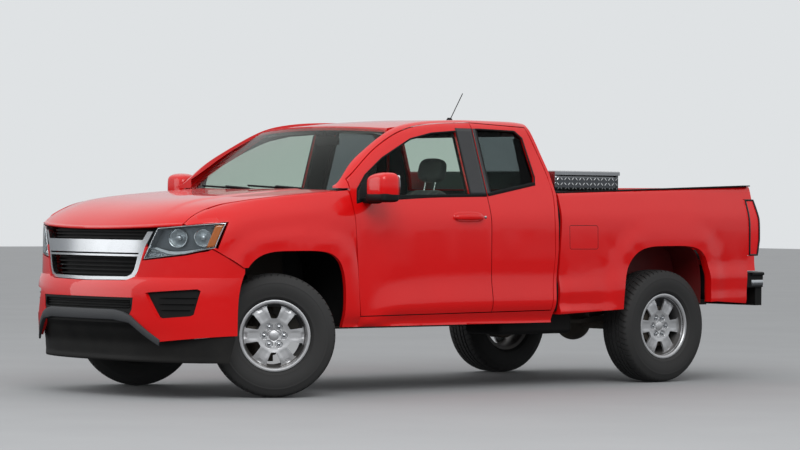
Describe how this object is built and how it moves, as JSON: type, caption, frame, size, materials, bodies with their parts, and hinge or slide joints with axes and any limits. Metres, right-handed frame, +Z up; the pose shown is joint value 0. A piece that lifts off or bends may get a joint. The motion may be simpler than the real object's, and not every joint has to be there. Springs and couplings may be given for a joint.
{
  "type": "pickup truck",
  "caption": "Extended-cab pickup truck with opening doors, hood, tailgate and toolbox lid, steered front wheels and rolling wheels.",
  "frame": {"origin": "on the ground, under the middle of the truck", "axes": "+X forward along the truck, +Y to its left, +Z up"},
  "size_m": [5.4029, 2.276, 1.96],
  "materials": {
    "body_paint": "gloss",
    "bed_lining": "satin",
    "floor_covering": "matte",
    "glass": "gloss",
    "interior_plastic": "matte",
    "seat_fabric": "matte",
    "cast_parts": "matte",
    "exhaust_steel": "satin",
    "black_plastic": "matte",
    "bright_trim": "polished",
    "lamp_lens": "gloss",
    "red_lens": "gloss",
    "frame_paint": "satin",
    "bumper_paint": "satin",
    "aluminium": "satin",
    "wheel_alloy": "satin",
    "tyre_rubber": "matte"
  },
  "bodies": {
    "chassis": {"aerial": "black_plastic", "bed_rail_caps": "black_plastic", "bed_sides": "body_paint", "bed_tub": "bed_lining", "cab_floor": "floor_covering", "cab_frame": "body_paint", "cab_glass": "glass", "dashboard": "interior_plastic", "engine_and_gearbox": "cast_parts", "exhaust": "exhaust_steel", "front_fascia": "body_paint", "front_seats": "seat_fabric", "front_suspension": "cast_parts", "front_valance": "black_plastic", "front_wings": "body_paint", "fuel_tank": "black_plastic", "grille_slats": "black_plastic", "grille_surround": "bright_trim", "headlamps": "lamp_lens", "ladder_frame": "frame_paint", "leaf_springs": "frame_paint", "radiator": "aluminium", "rear_axle": "cast_parts", "rear_bumper": "bumper_paint", "rear_seats": "seat_fabric", "roof_panel": "body_paint", "spare_wheel": "tyre_rubber", "tail_lamps": "red_lens", "toolbox": "aluminium", "wheel_liners": "black_plastic"},
    "hood": {"hood": "body_paint"},
    "tailgate": {"tailgate": "body_paint"},
    "toolbox_lid": {"toolbox_lid": "aluminium"},
    "steering_wheel": {"steering_wheel": "interior_plastic"},
    "front_door_left": {"door_front_left": "body_paint", "door_glass_front_left": "glass", "mirror_left": "black_plastic"},
    "front_door_right": {"door_front_right": "body_paint", "door_glass_front_right": "glass", "mirror_right": "black_plastic"},
    "rear_door_left": {"door_rear_left": "body_paint", "door_glass_rear_left": "glass"},
    "rear_door_right": {"door_rear_right": "body_paint", "door_glass_rear_right": "glass"},
    "left_knuckle": {"knuckle_left": "cast_parts"},
    "right_knuckle": {"knuckle_right": "cast_parts"},
    "front_left_wheel": {"rim_front_left": "wheel_alloy", "tyre_front_left": "tyre_rubber"},
    "front_right_wheel": {"rim_front_right": "wheel_alloy", "tyre_front_right": "tyre_rubber"},
    "rear_left_wheel": {"rim_rear_left": "wheel_alloy", "tyre_rear_left": "tyre_rubber"},
    "rear_right_wheel": {"rim_rear_right": "wheel_alloy", "tyre_rear_right": "tyre_rubber"}
  },
  "joints": [
    {"name": "hood_hinge", "type": "hinge", "parent": "chassis", "child": "hood", "pos_m": [1.4065, 0, 1.25], "axis": [0, -1, 0], "range_deg": [0, 50]},
    {"name": "front_door_left_hinge", "type": "hinge", "parent": "chassis", "child": "front_door_left", "pos_m": [1.2115, 0.948, 0.9], "axis": [0, 0, -1], "range_deg": [0, 60]},
    {"name": "front_door_right_hinge", "type": "hinge", "parent": "chassis", "child": "front_door_right", "pos_m": [1.2115, -0.948, 0.9], "axis": [0, 0, 1], "range_deg": [0, 60]},
    {"name": "rear_door_left_hinge", "type": "hinge", "parent": "chassis", "child": "rear_door_left", "pos_m": [-0.452, 0.948, 0.9], "axis": [0, 0, 1], "range_deg": [0, 75]},
    {"name": "rear_door_right_hinge", "type": "hinge", "parent": "chassis", "child": "rear_door_right", "pos_m": [-0.452, -0.948, 0.9], "axis": [0, 0, -1], "range_deg": [0, 75]},
    {"name": "tailgate_hinge", "type": "hinge", "parent": "chassis", "child": "tailgate", "pos_m": [-2.372, 0, 0.812], "axis": [0, -1, 0], "range_deg": [0, 90]},
    {"name": "toolbox_lid_hinge", "type": "hinge", "parent": "chassis", "child": "toolbox_lid", "pos_m": [-0.5575, 0, 1.405], "axis": [0, 1, 0], "range_deg": [0, 70]},
    {"name": "left_steering", "type": "hinge", "parent": "chassis", "child": "left_knuckle", "pos_m": [1.7565, 0.7, 0.383], "axis": [0, 0, 1], "range_deg": [-6, 66]},
    {"name": "right_steering", "type": "hinge", "parent": "chassis", "child": "right_knuckle", "pos_m": [1.7565, -0.7, 0.383], "axis": [0, 0, 1], "range_deg": [-6, 66]},
    {"name": "steering_column", "type": "hinge", "parent": "chassis", "child": "steering_wheel", "pos_m": [0.7715, 0.36, 1.09], "axis": [-0.9135, 0, 0.4067], "range_deg": [-90, 990]},
    {"name": "front_left_axle", "type": "hinge", "parent": "left_knuckle", "child": "front_left_wheel", "pos_m": [1.80414, 0.77929, 0.383], "axis": [0.515, 0.8572, 0], "continuous": true},
    {"name": "front_right_axle", "type": "hinge", "parent": "right_knuckle", "child": "front_right_wheel", "pos_m": [1.70886, -0.77929, 0.383], "axis": [0.515, 0.8572, 0], "continuous": true},
    {"name": "rear_left_axle", "type": "hinge", "parent": "chassis", "child": "rear_left_wheel", "pos_m": [-1.5015, 0.7925, 0.383], "axis": [0, 1, 0], "continuous": true},
    {"name": "rear_right_axle", "type": "hinge", "parent": "chassis", "child": "rear_right_wheel", "pos_m": [-1.5015, -0.7925, 0.383], "axis": [0, 1, 0], "continuous": true}
  ],
  "couplings": [
    {"joint": "right_steering", "follows": "left_steering", "ratio": 1},
    {"joint": "steering_column", "follows": "left_steering", "ratio": 15}
  ]
}
